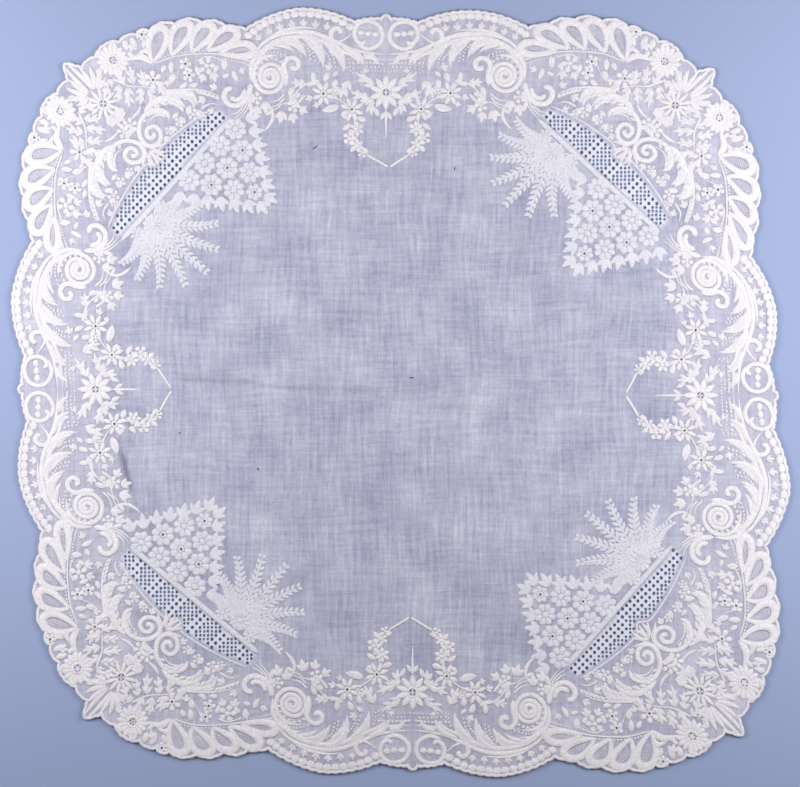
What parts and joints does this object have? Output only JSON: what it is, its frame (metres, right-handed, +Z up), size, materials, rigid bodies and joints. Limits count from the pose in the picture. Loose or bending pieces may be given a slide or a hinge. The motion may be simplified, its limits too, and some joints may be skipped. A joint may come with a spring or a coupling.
{
  "type": "embroidered handkerchief",
  "caption": "Sheer white lawn pocket handkerchief lying flat, with a scalloped edge, a wide padded whitework border and a band of openwork across each corner.",
  "frame": {"origin": "middle of the cloth's underside, where it lies on the table", "axes": "+Z up out of the cloth's face, +Y to the top side of the cloth as laid, +X to its right"},
  "size_m": [0.436, 0.4308, 0.0022],
  "materials": {
    "lawn": "sheer plain-weave cotton lawn with raised white satin stitch"
  },
  "bodies": {
    "root": {"handkerchief": "lawn"}
  },
  "joints": []
}
